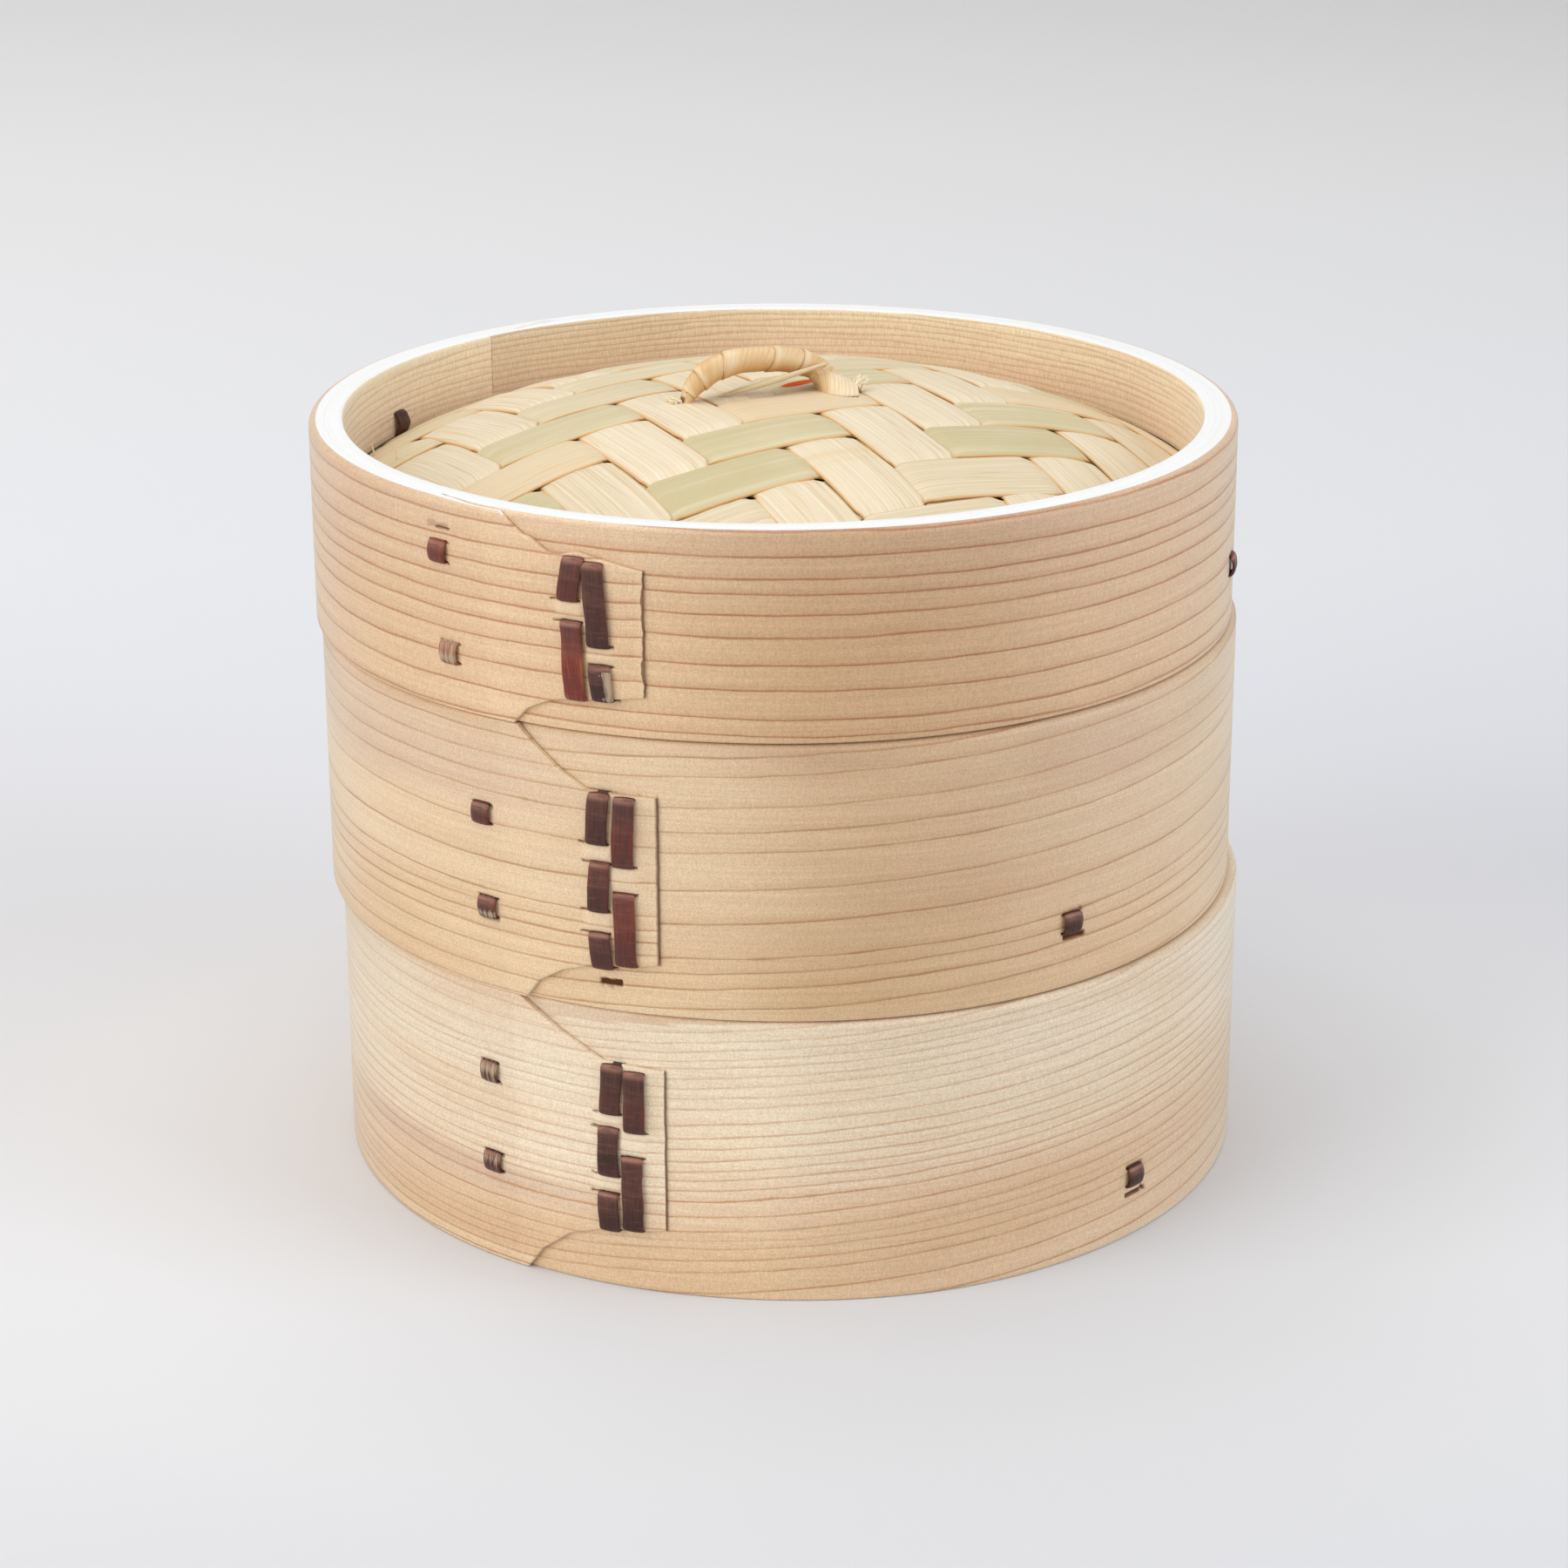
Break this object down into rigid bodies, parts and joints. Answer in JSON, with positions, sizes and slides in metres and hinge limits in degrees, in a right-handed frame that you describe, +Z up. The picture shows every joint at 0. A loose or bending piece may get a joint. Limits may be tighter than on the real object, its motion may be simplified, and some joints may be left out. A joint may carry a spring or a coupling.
{
  "type": "bamboo steamer",
  "caption": "Round steamer of bent wood hoops with lapped, bark-stitched bands: two stacking tiers with slatted floors and a domed woven lid with a wrapped rattan handle.",
  "frame": {"origin": "middle of the stack on the surface that it stands on", "axes": "+Z up through the tiers and the lid, -Y towards the stitched laps' side, +X to the right"},
  "size_m": [0.183, 0.1792, 0.1592],
  "materials": {
    "band_lower": "planed cedar, unfinished",
    "band_upper": "planed cedar, unfinished",
    "band_lid": "planed cedar, unfinished",
    "hoop": "planed cedar, unfinished",
    "slat": "split bamboo",
    "bar": "split bamboo",
    "bark": "cherry-like bark, satin",
    "weave": "split bamboo strips, woven",
    "rattan": "rattan peel, satin"
  },
  "bodies": {
    "lower_tier": {"lower_band": "band_lower", "lower_lacing_1": "bark", "lower_lacing_2": "bark", "lower_tie_high": "bark", "lower_tie_low_1": "bark", "lower_tie_low_2": "bark", "lower_hoop_high": "hoop", "lower_hoop_low": "hoop", "lower_slat_1": "slat", "lower_slat_2": "slat", "lower_slat_3": "slat", "lower_slat_4": "slat", "lower_slat_5": "slat", "lower_slat_6": "slat", "lower_slat_7": "slat", "lower_slat_8": "slat", "lower_slat_9": "slat", "lower_cross_bar_1": "bar", "lower_cross_bar_2": "bar"},
    "upper_tier": {"upper_band": "band_upper", "upper_lacing_1": "bark", "upper_lacing_2": "bark", "upper_tie_high": "bark", "upper_tie_low_1": "bark", "upper_tie_low_2": "bark", "upper_hoop_high": "hoop", "upper_hoop_low": "hoop", "upper_slat_1": "slat", "upper_slat_2": "slat", "upper_slat_3": "slat", "upper_slat_4": "slat", "upper_slat_5": "slat", "upper_slat_6": "slat", "upper_slat_7": "slat", "upper_slat_8": "slat", "upper_slat_9": "slat", "upper_cross_bar_1": "bar", "upper_cross_bar_2": "bar"},
    "lid": {"lid_band": "band_lid", "lid_lacing_1": "bark", "lid_lacing_2": "bark", "lid_tie_high_1": "bark", "lid_tie_high_2": "bark", "lid_tie_low_1": "bark", "lid_tie_low_2": "bark", "lid_hoop_high": "hoop", "lid_hoop_low": "hoop", "lid_woven_sheet": "weave", "lid_handle_core": "rattan", "lid_handle_wrap": "rattan"}
  },
  "joints": [
    {"name": "upper_tier_lift", "type": "slide", "parent": "lower_tier", "child": "upper_tier", "axis": [0, 0, 1], "range_m": [0, 0.06]},
    {"name": "lid_lift", "type": "slide", "parent": "upper_tier", "child": "lid", "axis": [0, 0, 1], "range_m": [0, 0.06]}
  ]
}
